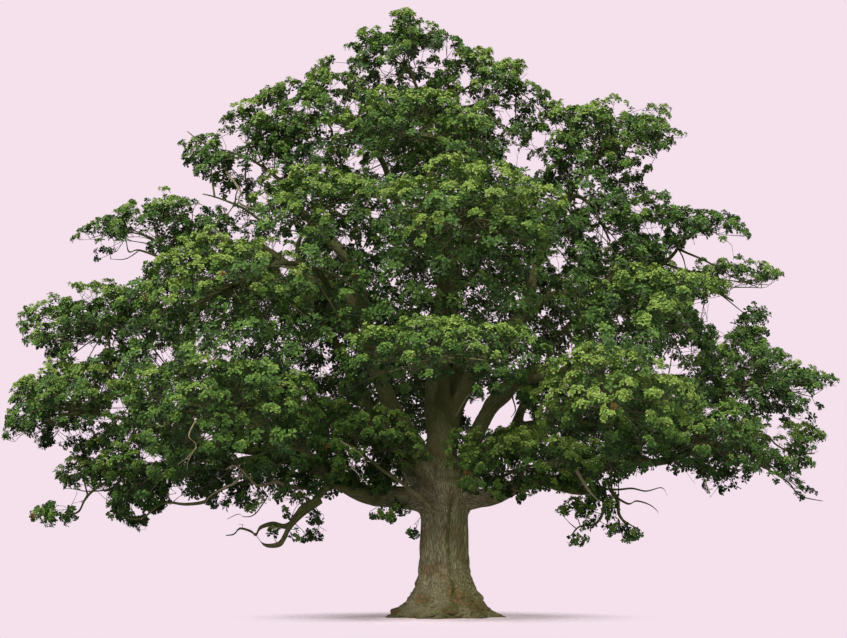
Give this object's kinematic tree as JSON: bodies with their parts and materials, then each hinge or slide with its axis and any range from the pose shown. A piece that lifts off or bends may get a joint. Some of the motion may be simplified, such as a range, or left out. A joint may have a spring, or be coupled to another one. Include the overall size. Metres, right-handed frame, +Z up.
{
  "type": "oak tree, mature and open-grown",
  "caption": "Broad open-grown oak in full leaf: a stout trunk with a flared base, wide low boughs and a domed crown of separate masses of foliage.",
  "frame": {"origin": "centre of the flat cut under the trunk, at ground level", "axes": "+Z up along the trunk, +X to the right-hand side of the crown as pictured, -Y towards the camera"},
  "size_m": [26.55, 23.575, 20],
  "materials": {
    "bark": "matte",
    "foliage": "matte"
  },
  "bodies": {
    "root": {"trunk": "bark", "centre_stem": "bark", "left_stem": "bark", "left_low_bough": "bark", "right_low_bough": "bark", "right_arch": "bark", "back_stem": "bark", "back_left_bough": "bark", "back_right_bough": "bark", "right_stem": "bark", "front_limb": "bark", "front_high_limb": "bark", "top_left_limb": "bark", "left_mid_limb": "bark", "left_front_limb": "bark", "drooping_limb": "bark", "left_low_front_limb": "bark", "left_low_outer_limb": "bark", "right_low_outer_limb": "bark", "right_front_limb": "bark", "right_mid_limb": "bark", "back_low_limb": "bark", "back_left_limb": "bark", "back_right_limb": "bark", "crown_top": "foliage", "top_right": "foliage", "top_left": "foliage", "top_back": "foliage", "top_front": "foliage", "upper_left": "foliage", "upper_right": "foliage", "inner_right": "foliage", "back_high": "foliage", "front_high": "foliage", "front_left_high": "foliage", "mid_left": "foliage", "mid_right": "foliage", "right_outer": "foliage", "left_bright": "foliage", "right_front": "foliage", "centre_front": "foliage", "right_bright": "foliage", "right_far": "foliage", "left_far_upper": "foliage", "left_far_lower": "foliage", "left_low_tip": "foliage", "left_front_low": "foliage", "left_low_mid": "foliage", "right_low_far": "foliage", "right_low_mid": "foliage", "right_hanging": "foliage", "near_left": "foliage", "near_right": "foliage", "drooping_sprigs": "foliage", "back_low_left": "foliage", "back_low_right": "foliage", "back_low_middle": "foliage", "back_left": "foliage", "back_right": "foliage", "inner_left": "foliage"}
  },
  "joints": []
}
